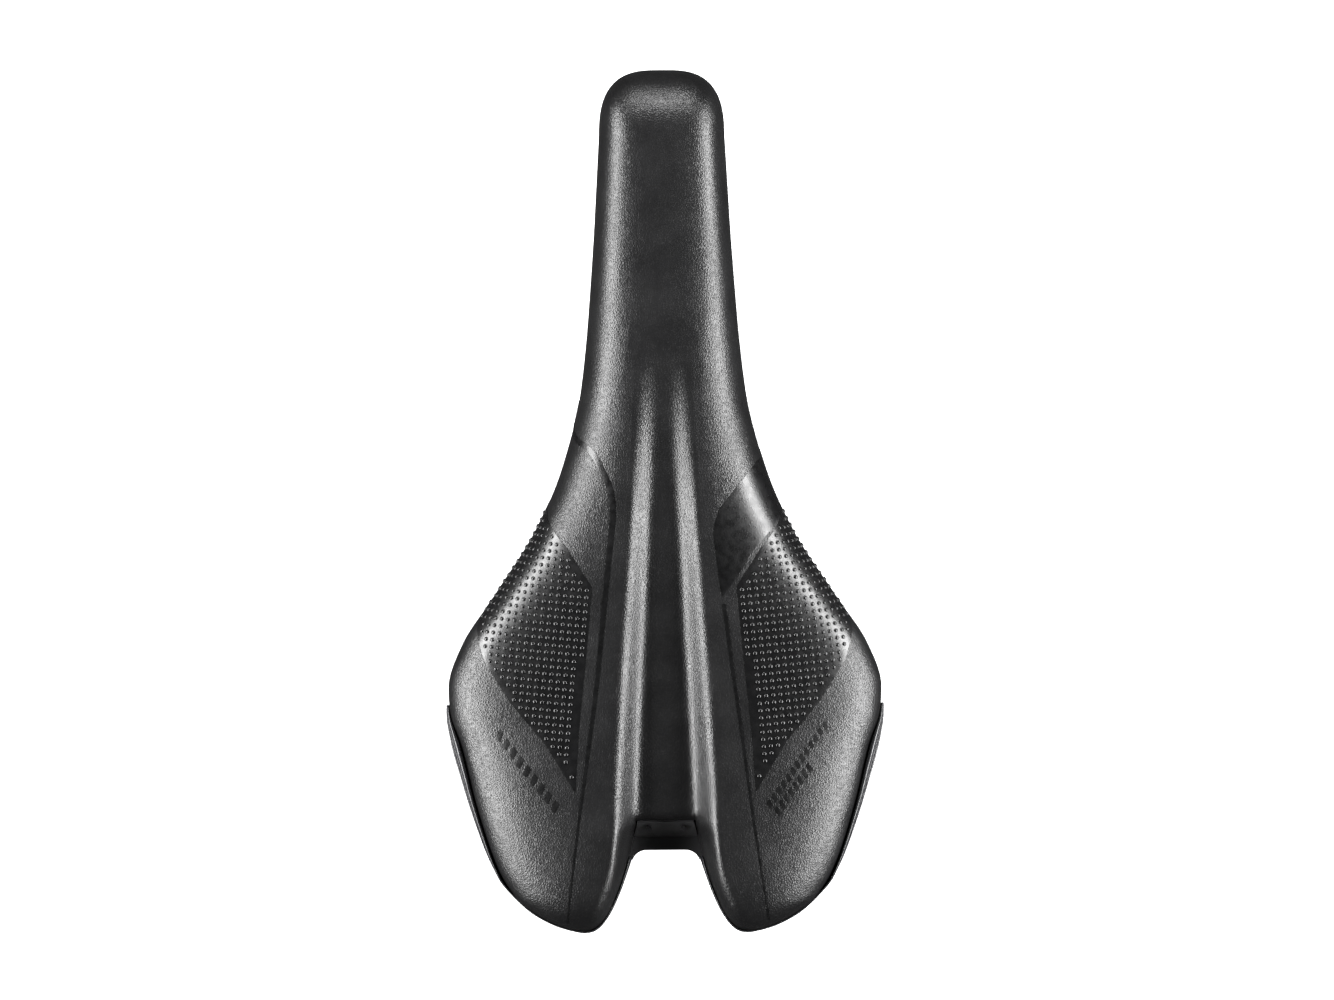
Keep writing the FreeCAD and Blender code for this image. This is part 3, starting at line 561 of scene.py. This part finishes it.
# ---- cover --------------------------------------------------------------------------------
# The hem below the cover's edge: how far in and how far down, in millimetres, and its wrinkling.
HEM = [(0.12, -0.45, 0.0), (0.5, -0.85, 0.1), (1.2, -1.08, 0.25), (2.6, -1.14, 0.7), (4.4, -1.14, 1.0),
       (6.6, -1.10, 1.0)]
CLOTH_FRAMES = 12
CLOTH_PRESSURE = 4.0
CLOTH_MOST = 0.6         # the cloth run moves no point further than this, in millimetres
HEM_UNDER_GUARD = 0.15   # the hem's share of its full size where the edge guard covers it
HEM_TIGHT_Y = 112.0      # the hem is gathered into wrinkles round the nose, from here forwards
HEM_WRINKLE = 0.35       # depth of the wrinkles


def hem_share(points):
    """1 where the hem shows below, falling where the edge guard or the bridge takes its place."""
    x, y = points[:, 0], points[:, 1]
    at_notch = x < notch_x(np.minimum(y, NOTCH_Y)) + 1.5
    at_notch = at_notch & (y < REAR_Y)
    guarded = np.where(at_notch, smooth((-101 - y) / 4), smooth((-50 - y) / 5))
    guarded = np.where(at_notch & (y > BRIDGE_REAR - 2), 1.0, guarded)
    return 1 - (1 - HEM_UNDER_GUARD) * guarded


def cover_half():
    strip, main = half_grid()
    half = Half(raised(strip, top_height), raised(main, top_height))
    line = np.array([half.points[k] for k in half.edge])
    inward = inward_normals(line[:, :2])
    share = hem_share(line)
    travelled = np.concatenate([[0], np.cumsum(np.hypot(*np.diff(line[:, :2], axis=0).T))])
    tight = smooth((line[:, 1] - HEM_TIGHT_Y) / 14)
    waves = np.sin(travelled * 1.9) * 0.5 + np.sin(travelled * 1.17 + 1.0) * 0.5
    low = rim_height(line[:, 0], line[:, 1])
    last = half.edge
    for reach, drop, wrinkle in HEM:
        plan = line[:, :2] + inward * (reach * share)[:, None]
        z = low + drop * share - HEM_WRINKLE * wrinkle * tight * (0.5 + 0.5 * waves)
        row = [half.add((px, py, pz)) for (px, py), pz in zip(plan, z)]
        half.join(row, last)
        last = row
    return half


def make_cover():
    half = cover_half()
    return make_mesh("saddle_cover", half.points, half.faces, mirror=True)


def thicken(obj, thickness):
    modifier = obj.modifiers.new("skin", "SOLIDIFY")
    modifier.thickness = thickness * MM
    modifier.offset = -1.0
    apply_modifiers(obj)
    for polygon in obj.data.polygons:
        polygon.use_smooth = True


def tension(obj):
    """A short cloth run: foam pressure fills the cover out between its fixed hem and channel."""
    rest = [v.co.copy() for v in obj.data.vertices]
    fixed = obj.vertex_groups.new(name="fixed")
    held = []
    for v in obj.data.vertices:
        x, y, z = abs(v.co.x) / MM, v.co.y / MM, v.co.z / MM
        channel = (1 - smooth((x - channel_shoulder(y) + 1) / 3)) * smooth((70 - y) / 25)
        hem = 1 - smooth((z - float(lower_edge(y)) - 1.0) / 5)
        held.append(max(float(channel), float(hem)))
        fixed.add([v.index], held[-1], "REPLACE")
    cloth = obj.modifiers.new("cloth", "CLOTH")
    settings = cloth.settings
    settings.quality = 4
    settings.mass = 0.4
    settings.tension_stiffness = settings.compression_stiffness = 12
    settings.shear_stiffness = 8
    settings.bending_stiffness = 4
    settings.use_pressure = True
    settings.uniform_pressure_force = CLOTH_PRESSURE
    settings.effector_weights.gravity = 0
    settings.vertex_group_mass = fixed.name
    cloth.collision_settings.use_collision = False
    cloth.point_cache.frame_start, cloth.point_cache.frame_end = 1, CLOTH_FRAMES
    scene = bpy.context.scene
    for step in range(1, CLOTH_FRAMES + 1):
        scene.frame_set(step)
    moved = obj.evaluated_get(bpy.context.evaluated_depsgraph_get()).data.vertices
    spots = [v.co.copy() for v in moved]
    obj.modifiers.clear()
    obj.vertex_groups.clear()
    scene.frame_set(1)
    normals = [v.normal.copy() for v in obj.data.vertices]
    for v, start, spot, normal, hold in zip(obj.data.vertices, rest, spots, normals, held):
        rise = (spot - start).dot(normal) / MM
        rise = CLOTH_MOST * math.tanh(rise / CLOTH_MOST) * (1 - hold)
        v.co = start + normal * (rise * MM)


cover = make_cover()
tension(cover)
surface = BVHTree.FromObject(cover, bpy.context.evaluated_depsgraph_get())
thicken(cover, SKIN)
finish_piece(cover, MATERIALS["cover_leather"], replaces=["cover"])


# ---- films on the cover -------------------------------------------------------------------
SAMPLES = np.sin(np.linspace(0, math.pi / 2, 240))


@functools.lru_cache(maxsize=None)
def section_at(index):
    """Across the right half at a section: x, height and the distance along the surface.

    That distance equals x where the line that films are unrolled from crosses the section.
    """
    y = index * SECTION_STEP
    xs = float(edge_x(y)) * SAMPLES
    zs = top_height(xs, np.full(len(xs), y))
    arc = np.concatenate([[0], np.cumsum(np.hypot(np.diff(xs), np.diff(zs)))])
    datum = UNROLL_X if y < -10 else min(UNROLL_X, 0.6 * xs[-1])
    return xs, zs, arc - np.interp(datum, xs, arc) + datum


def section_arc(y):
    return section_at(round(y / SECTION_STEP))


def unrolled(x, y):
    """(distance along the surface from the centre plane, y) of a plan point."""
    xs, _, arc = section_arc(y)
    return (arc[-1] - 0.5 if x is None else float(np.interp(x, xs, arc)), y)


def rolled(a, y):
    """The surface point at a distance along the section."""
    xs, zs, arc = section_arc(y)
    return Vector((float(np.interp(a, arc, xs)), y, float(np.interp(a, arc, zs))))


def on_surface(a, y, offset, side):
    """A point over the cover's real mesh, in millimetres, with the surface's normal there."""
    step = 0.4
    point = rolled(a, y)
    normal = (rolled(a + step, y) - rolled(a - step, y)).cross(rolled(a, y + step) - rolled(a, y - step))
    normal.normalize()
    if normal.z < 0 and normal.x < 0:
        normal.negate()
    point.x *= side
    normal.x *= side
    hit, _, _, _ = surface.ray_cast((point + normal * 4) * MM, -normal, 8 * MM)
    if hit is not None:
        point = hit / MM
    return point + normal * offset, normal


def inside(point, polygon):
    """Whether a point is in a polygon, both in unrolled coordinates."""
    x, y = point
    odd = False
    for (ax, ay), (bx, by) in zip(polygon, np.roll(polygon, -1, axis=0)):
        if (ay > y) != (by > y) and x < (bx - ax) * (y - ay) / (by - ay) + ax:
            odd = not odd
    return odd


def gap_to(point, polygon):
    """Distance from a point to a polygon's edge."""
    a = np.asarray(polygon)
    b = np.roll(a, -1, axis=0)
    d = b - a
    t = np.clip(((point - a) * d).sum(1) / np.maximum((d * d).sum(1), 1e-9), 0, 1)
    return float(np.hypot(*(a + d * t[:, None] - point).T).min())


def film_mesh(polygon, side, height=FILM, cell=1.15):
    """Points and faces of a closed film over the cover, bounded by an unrolled polygon."""
    edge = along(np.vstack([polygon, polygon[:1]]), 0.7)[:-1]
    low, high = edge.min(0), edge.max(0)
    fill = []
    for j, y in enumerate(np.arange(low[1], high[1], cell * 0.866)):
        for a in np.arange(low[0] + (j % 2) * cell / 2, high[0], cell):
            if inside((a, y), edge) and gap_to((a, y), edge) > cell * 0.45:
                fill.append((a, y))
    spots = [Vector(p) for p in list(edge) + fill]
    ring = list(range(len(edge)))
    flat, _, triangles, _, _, _ = delaunay_2d_cdt(spots, [], [ring], 1, 1e-6)
    rim = len(edge)
    points = []
    for k, p in enumerate(flat):
        lift = height * (0.7 if k < rim else 1.0)
        points.append(on_surface(p[0], p[1], lift, side)[0])
    count = len(points)
    for p in flat:
        points.append(on_surface(p[0], p[1], -GROOVE, side)[0])
    faces = [tuple(t) for t in triangles]
    faces += [tuple(count + k for k in reversed(t)) for t in triangles]
    faces += [(k, (k + 1) % rim, count + (k + 1) % rim, count + k) for k in range(rim)]
    return points, faces


def dot_mesh(spot, side, segments=10):
    """One raised grip dot, a low dome standing on the film."""
    centre, normal = on_surface(spot[0], spot[1], 0.0, side)
    across = normal.cross(Vector((0, 1, 0))).normalized()
    ahead = across.cross(normal)
    points, faces = [], []
    profile = [(1.0, FILM - 0.10), (1.0, FILM + 0.03), (0.93, FILM + 0.17), (0.74, FILM + 0.31),
               (0.42, FILM + DOT_HEIGHT - 0.03)]
    for share, lift in profile:
        for k in range(segments):
            turn = 2 * math.pi * k / segments
            points.append(centre + normal * lift
                          + (across * math.cos(turn) + ahead * math.sin(turn)) * (DOT_R * share))
    points.append(centre + normal * (FILM + DOT_HEIGHT))
    for ring in range(len(profile) - 1):
        for k in range(segments):
            a, b = ring * segments + k, ring * segments + (k + 1) % segments
            faces.append((a, b, b + segments, a + segments))
    top = (len(profile) - 1) * segments
    faces += [(top + k, top + (k + 1) % segments, len(points) - 1) for k in range(segments)]
    faces.append(tuple(reversed(range(segments))))
    return points, faces


def join_parts(parts):
    """One list of points and one of faces out of several pairs of them."""
    points, faces = [], []
    for part_points, part_faces in parts:
        n = len(points)
        points += part_points
        faces += [tuple(n + k for k in f) for f in part_faces]
    return points, faces


def add_film(name, parts, material, replaces=()):
    points, faces = join_parts(parts)
    obj = make_mesh(name, points, faces, weld=0, crease=FILM_CREASE)
    finish_piece(obj, MATERIALS[material], replaces=replaces)


def outline(points):
    return np.array([unrolled(x, y) for x, y in points])


def strip_outline(points, widths):
    """The outline of a line of varying width along a smooth centreline, in unrolled coordinates."""
    centre = spline(outline(points))
    width = np.interp(np.linspace(0, 1, len(centre)), np.linspace(0, 1, len(widths)), widths)
    d = np.gradient(centre, axis=0)
    d /= np.hypot(d[:, 0], d[:, 1])[:, None]
    across = np.column_stack([-d[:, 1], d[:, 0]]) * (width / 2)[:, None]
    return np.vstack([centre + across, (centre - across)[::-1]])


GRIP_COLUMNS = 40
GRIP_ROWS = range(-24, 40)


def grip_dots(polygon):
    """A square lattice of dots whose columns follow the patch's inner edge."""
    inner_front, inner_rear = outline([GRIP[3], GRIP[6]])
    down = (inner_rear - inner_front) / np.hypot(*(inner_rear - inner_front))
    out = np.array([-down[1], down[0]])
    spots = []
    for column in range(GRIP_COLUMNS):
        for row in GRIP_ROWS:
            spot = (inner_front + down * (row * DOT_PITCH + 1.2)
                    + out * (column * DOT_PITCH + GRIP_EDGE + 0.15))
            if inside(spot, polygon) and gap_to(spot, polygon) > GRIP_EDGE:
                spots.append(spot)
    return spots


grip = outline(GRIP)
dots = grip_dots(grip)
for side_name, side in SIDES:
    add_film(side_name + "_grip", [film_mesh(grip, side)] + [dot_mesh(spot, side) for spot in dots],
             "grip_film", [side_name + "_grip_patch"])
add_film("right_panel", [film_mesh(outline(PANEL), 1)], "gloss_film", ["right_gloss_panel"])
add_film("left_line", [film_mesh(strip_outline(LEFT_STRIP, LEFT_STRIP_WIDTH), -1, LINE_FILM)],
         "gloss_film", ["left_accent_strip"])
add_film("right_line", [film_mesh(strip_outline(RIGHT_STRIP, RIGHT_STRIP_WIDTH), 1, LINE_FILM)],
         "gloss_film", ["right_accent_strip"])


def bars(start, end, count, tall, slant, gap_share=0.42):
    """Plain slanted bars in a row, in unrolled coordinates, where printing stands on the cover."""
    a, b = np.array(unrolled(*start)), np.array(unrolled(*end))
    forward = (b - a) / count
    up = np.array([-forward[1], forward[0]]) / np.hypot(*forward) * tall
    lean = forward / np.hypot(*forward) * slant
    outlines = []
    for k in range(count):
        corner = a + forward * k
        far = forward * (1 - gap_share)
        outlines.append(np.array([corner, corner + far, corner + far + up + lean, corner + up + lean]))
    return outlines


left_bars = bars((52.2, -62.5), (32.5, -87.5), 9, 3.0, 1.2)
right_bars = (bars((33.0, -88.0), (52.0, -61.5), 13, 2.2, 0.9)
              + bars((35.6, -90.4), (47.0, -75.0), 8, 2.6, 1.0))
add_film("left_marks", [film_mesh(bar, -1) for bar in left_bars], "gloss_film")
add_film("right_marks", [film_mesh(bar, 1) for bar in right_bars], "gloss_film")


# ---- foam and gel, inside the cover -------------------------------------------------------
SHELL_INSET = 3.4        # the shell's edge lies this far inside the cover's
SHELL_DROP = 1.4         # and its top this far below the foam's depth
FOAM_LEAST = 0.3         # thickness of the foam at its edge


def shell_height(x, y):
    """The foam's underside: the shell's top, and the lower edge beside the shell."""
    share = x / np.maximum(edge_x(y) - SHELL_INSET, 0.5)
    height = (crown(y) - lower_edge(y)) * rounded((y - NOSE_Y + NOSE_ROUND) / NOSE_ROUND, RISE_POWER)
    rise = np.maximum(height - foam_depth(y) - SHELL_DROP, 0.8) * rounded(share, roundness(y))
    return np.minimum(lower_edge(y) + rise, top_height(x, y, FOAM_INSET) - FOAM_LEAST)


def pillow(centre, half, depth, thick, side, sides=28, rings=7):
    """A lens-shaped insert under the surface: points and faces, closed."""
    points, faces = [], []
    for level in (1, -1):
        base = len(points)
        for ring in range(rings):
            r = math.sin(ring / (rings - 1) * math.pi / 2)
            for k in range(sides):
                turn = 2 * math.pi * k / sides
                x = centre[0] + half[0] * r * math.cos(turn)
                y = centre[1] + half[1] * r * math.sin(turn)
                middle = float(top_height(x, y)) - depth - thick / 2
                z = middle + level * thick / 2 * math.sqrt(1 - r * r * 0.999)
                points.append((side * x, y, z))
        for ring in range(rings - 1):
            for k in range(sides):
                a, b = base + ring * sides + k, base + ring * sides + (k + 1) % sides
                faces.append((a, b, b + sides, a + sides)[::level])
    rim, other = (rings - 1) * sides, (2 * rings - 1) * sides
    faces += [(rim + k, rim + (k + 1) % sides, other + (k + 1) % sides, other + k) for k in range(sides)]
    return points, faces


GEL_CENTRE = (39.0, -62.0)
GEL_HALF = (11.5, 21.0)
GEL_DEPTH = 4.6          # the gel starts this far below the cover's surface
GEL_THICK = 3.6


def make_foam():
    strip, main = half_grid(FOAM_INSET)

    def inner_top(x, y):
        return top_height(x, y, FOAM_INSET)

    top = Half(raised(strip, inner_top), raised(main, inner_top))
    bottom = Half(raised(strip, shell_height), raised(main, shell_height))
    n = len(top.points)
    points = top.points + bottom.points
    faces = top.faces + [tuple(n + k for k in reversed(f)) for f in bottom.faces]
    faces += [(a, b, n + b, n + a) for a, b in zip(top.edge[:-1], top.edge[1:])]
    return make_mesh("foam_core", points, faces, mirror=True, weld=2e-5)


foam_core = finish_piece(make_foam(), MATERIALS["pu_foam"], replaces=["foam_pad"])
for side_name, side in SIDES:
    points, faces = pillow(GEL_CENTRE, GEL_HALF, GEL_DEPTH, GEL_THICK, side)
    gel_piece = make_mesh(side_name + "_gel_pad", points, faces, weld=2e-5)
    finish_piece(gel_piece, MATERIALS["gel"], replaces=[side_name + "_gel_insert"])


# ---- edge guards --------------------------------------------------------------------------
GUARD_STEP = 1.3         # spacing of the guard's cross-sections
GUARD_FLANGE = 4.6       # how far the guard reaches in under the shell
GUARD_THIN = 0.55        # its thinnest wall
TAIL_WALL = 0.72         # its wall round the tail lobe
TAIL_TALL = 3.2          # and its height there
STEP_TALL = (1.6, 2.4)   # its height at the step on the side, and how much it gains behind it
END_ROUND = 1.6          # both ends are rounded off over this length


def guard_profile(wall, tall):
    """The guard's cross-section: a flange under the shell's edge, a thin lip, a groove and a bead.

    Outwards and upwards from the edge's outer line, going round once.
    """
    return [(-0.9, -1.9), (-0.35, -1.78), (-0.08, -1.5), (0.0, -1.1), (0.0, 0.10 * tall),
            (-0.03 * wall, 0.26 * tall), (-0.10 * wall, 0.36 * tall), (-0.19 * wall, 0.38 * tall),
            (-0.27 * wall, 0.34 * tall), (-0.33 * wall, 0.38 * tall), (-0.37 * wall, 0.50 * tall),
            (-0.41 * wall, 0.70 * tall), (-0.48 * wall, 0.86 * tall), (-0.58 * wall, 0.96 * tall),
            (-0.70 * wall, tall), (-0.82 * wall, 0.98 * tall), (-0.92 * wall, 0.92 * tall),
            (-wall, 0.78 * tall), (-wall, 0.3 * tall), (-wall, -0.3), (0.4 - GUARD_FLANGE, -0.3),
            (-GUARD_FLANGE, -0.6), (-GUARD_FLANGE, -1.6), (0.4 - GUARD_FLANGE, -1.9)]


def guard_form(side):
    """Points and faces of the guard: its cross-section swept along the edge."""
    side_points = [(float(half_width(y)), y) for y in GUARD_SIDE_Y]
    line = along(spline(side_points + GUARD_TAIL), GUARD_STEP)
    d = np.gradient(line, axis=0)
    d /= np.hypot(d[:, 0], d[:, 1])[:, None]
    outward = np.column_stack([-d[:, 1], d[:, 0]])
    travelled = np.arange(len(line)) * GUARD_STEP
    points, faces = [], []
    for k, ((x, y), (ox, oy)) in enumerate(zip(line, outward)):
        at_rear = smooth((-100 - y) / 14)
        wall = max(float(guard_width(y)) - 0.15, GUARD_THIN) * (1 - at_rear) + TAIL_WALL * at_rear
        tall = STEP_TALL[0] + STEP_TALL[1] * float(smooth((-54 - y) / 14))
        tall = tall * (1 - at_rear) + TAIL_TALL * at_rear
        ends = min(travelled[k], travelled[-1] - travelled[k]) / END_ROUND
        taper = 0.45 + 0.55 * float(rounded(1 - min(ends, 1.0), 2.0))
        base = float(lower_edge(y))
        for a, b in guard_profile(wall, tall):
            b = b * taper if b > -0.3 else b
            points.append((side * (x + ox * a), y + oy * a, base + b))
    sides = len(guard_profile(1, 1))
    for i in range(len(line) - 1):
        for k in range(sides):
            a, b = i * sides + k, i * sides + (k + 1) % sides
            faces.append((a, b, b + sides, a + sides))
    faces.append(tuple(range(sides)))
    last = (len(line) - 1) * sides
    faces.append(tuple(last + k for k in reversed(range(sides))))
    return points, faces


for side_name, side in SIDES:
    points, faces = guard_form(side)
    guard = make_mesh(side_name + "_guard", points, faces, weld=0)
    finish_piece(guard, MATERIALS["guard_plastic"],
                 replaces=[side_name + "_edge_guard"])


# ---- carried-over CAD parts ---------------------------------------------------------------
CAD_FINISH = {
    "base_shell": "shell_plastic", "left_rail": "rail_steel", "right_rail": "rail_steel",
    "nose_clamp_plate": "fitting_plastic", "nose_clamp_screws": "screw_steel",
    "nose_threaded_inserts": "insert_brass", "left_rear_rail_block": "fitting_plastic",
    "right_rear_rail_block": "fitting_plastic", "rear_block_screws": "screw_steel",
    "accessory_socket": "fitting_plastic", "accessory_socket_screws": "screw_steel",
    "accessory_slot_cover": "slot_cover_plastic", "bridge_pins": "screw_steel",
}
for node, finish in CAD_FINISH.items():
    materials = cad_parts[node].data.materials
    for index in range(max(len(materials), 1)):
        if index < len(materials):
            materials[index] = MATERIALS[finish]
        else:
            materials.append(MATERIALS[finish])


# ---- floor, light and camera --------------------------------------------------------------
# Metres, degrees and watts from here on.
FLOOR_HALF = 3.0
FLOOR_GLOW = 0.72
LIGHT_AIM = (0.0, 0.0, 0.04)
LIGHT_FAR = 1.0
LIGHTS = [               # name, azimuth, elevation, size, power
    ("left_softbox", 180, 24, (1.3, 0.36), 40.0),
    ("right_softbox", 0, 24, (1.3, 0.36), 40.0),
    ("nose_softbox", 90, 26, (0.5, 0.25), 8.0),
]
WORLD_LIGHT = 0.055
BACKDROP = 0.86
CAMERA_AIM = (0.0010, 0.0093, 0.028)
CAMERA_HEIGHT = 1.5      # over the point that it aims at
CAMERA_ROLL = -0.35
FRAME_WIDTH = 0.4251     # what the picture's width covers at that point
SENSOR_WIDTH = 36.0      # millimetres


def make_floor():
    low, half = cad_box[0].z, FLOOR_HALF
    mesh = bpy.data.meshes.new("floor")
    mesh.from_pydata([(-half, -half, low), (half, -half, low), (half, half, low), (-half, half, low)],
                     [], [(0, 1, 2, 3)])
    floor = bpy.data.objects.new("floor", mesh)
    bpy.context.scene.collection.objects.link(floor)
    n = Nodes("floor_paper")
    n.set(Roughness=0.9, Specular_IOR_Level=0.1)
    n.set(Emission_Color=(1, 1, 1, 1), Emission_Strength=FLOOR_GLOW)
    n.link(n.mix(n.noise(3.0), (0.80, 0.80, 0.80), (0.84, 0.84, 0.84)), "Base Color")
    # Seen from below the paper is clear, so that the saddle's underside can be looked at.
    clear = n.node("ShaderNodeBsdfTransparent")
    choice = n.node("ShaderNodeMixShader")
    behind = n.node("ShaderNodeNewGeometry").outputs["Backfacing"]
    n.tree.links.new(behind, choice.inputs[0])
    n.tree.links.new(n.shader.outputs[0], choice.inputs[1])
    n.tree.links.new(clear.outputs[0], choice.inputs[2])
    n.tree.links.new(choice.outputs[0], n.tree.nodes["Material Output"].inputs["Surface"])
    mesh.materials.append(n.material)
    floor.visible_glossy = False


def soft_light(name, place, aim, size, power):
    light = bpy.data.lights.new(name, "AREA")
    light.shape = "RECTANGLE"
    light.size, light.size_y = size
    light.energy = power
    obj = bpy.data.objects.new(name, light)
    obj.location = place
    obj.rotation_euler = (Vector(aim) - Vector(place)).to_track_quat("-Z", "Y").to_euler()
    bpy.context.scene.collection.objects.link(obj)


def make_lights():
    for name, azimuth, elevation, size, power in LIGHTS:
        a, e = math.radians(azimuth), math.radians(elevation)
        toward = Vector((math.cos(a) * math.cos(e), math.sin(a) * math.cos(e), math.sin(e)))
        soft_light(name, Vector(LIGHT_AIM) + toward * LIGHT_FAR, LIGHT_AIM, size, power)


def make_world():
    """Dim even light all round, behind a pale backdrop that only the camera sees."""
    world = bpy.data.worlds.new("studio")
    world.use_nodes = True
    tree = world.node_tree
    dim = tree.nodes["Background"]
    dim.inputs[0].default_value = (1, 1, 1, 1)
    dim.inputs[1].default_value = WORLD_LIGHT
    backdrop = tree.nodes.new("ShaderNodeBackground")
    backdrop.inputs[0].default_value = (BACKDROP, BACKDROP, BACKDROP, 1)
    choice = tree.nodes.new("ShaderNodeMixShader")
    tree.links.new(tree.nodes.new("ShaderNodeLightPath").outputs["Is Camera Ray"], choice.inputs[0])
    tree.links.new(dim.outputs[0], choice.inputs[1])
    tree.links.new(backdrop.outputs[0], choice.inputs[2])
    tree.links.new(choice.outputs[0], tree.nodes["World Output"].inputs[0])
    bpy.context.scene.world = world


def make_camera():
    data = bpy.data.cameras.new("camera")
    data.sensor_width = SENSOR_WIDTH
    data.lens = SENSOR_WIDTH * CAMERA_HEIGHT / FRAME_WIDTH
    camera = bpy.data.objects.new("camera", data)
    camera.location = Vector(CAMERA_AIM) + Vector((0, 0, CAMERA_HEIGHT))
    camera.rotation_euler = (0, 0, math.radians(CAMERA_ROLL))
    bpy.context.scene.collection.objects.link(camera)
    bpy.context.scene.camera = camera
    bpy.context.scene.view_settings.view_transform = "Standard"


make_floor()
make_lights()
make_world()
make_camera()
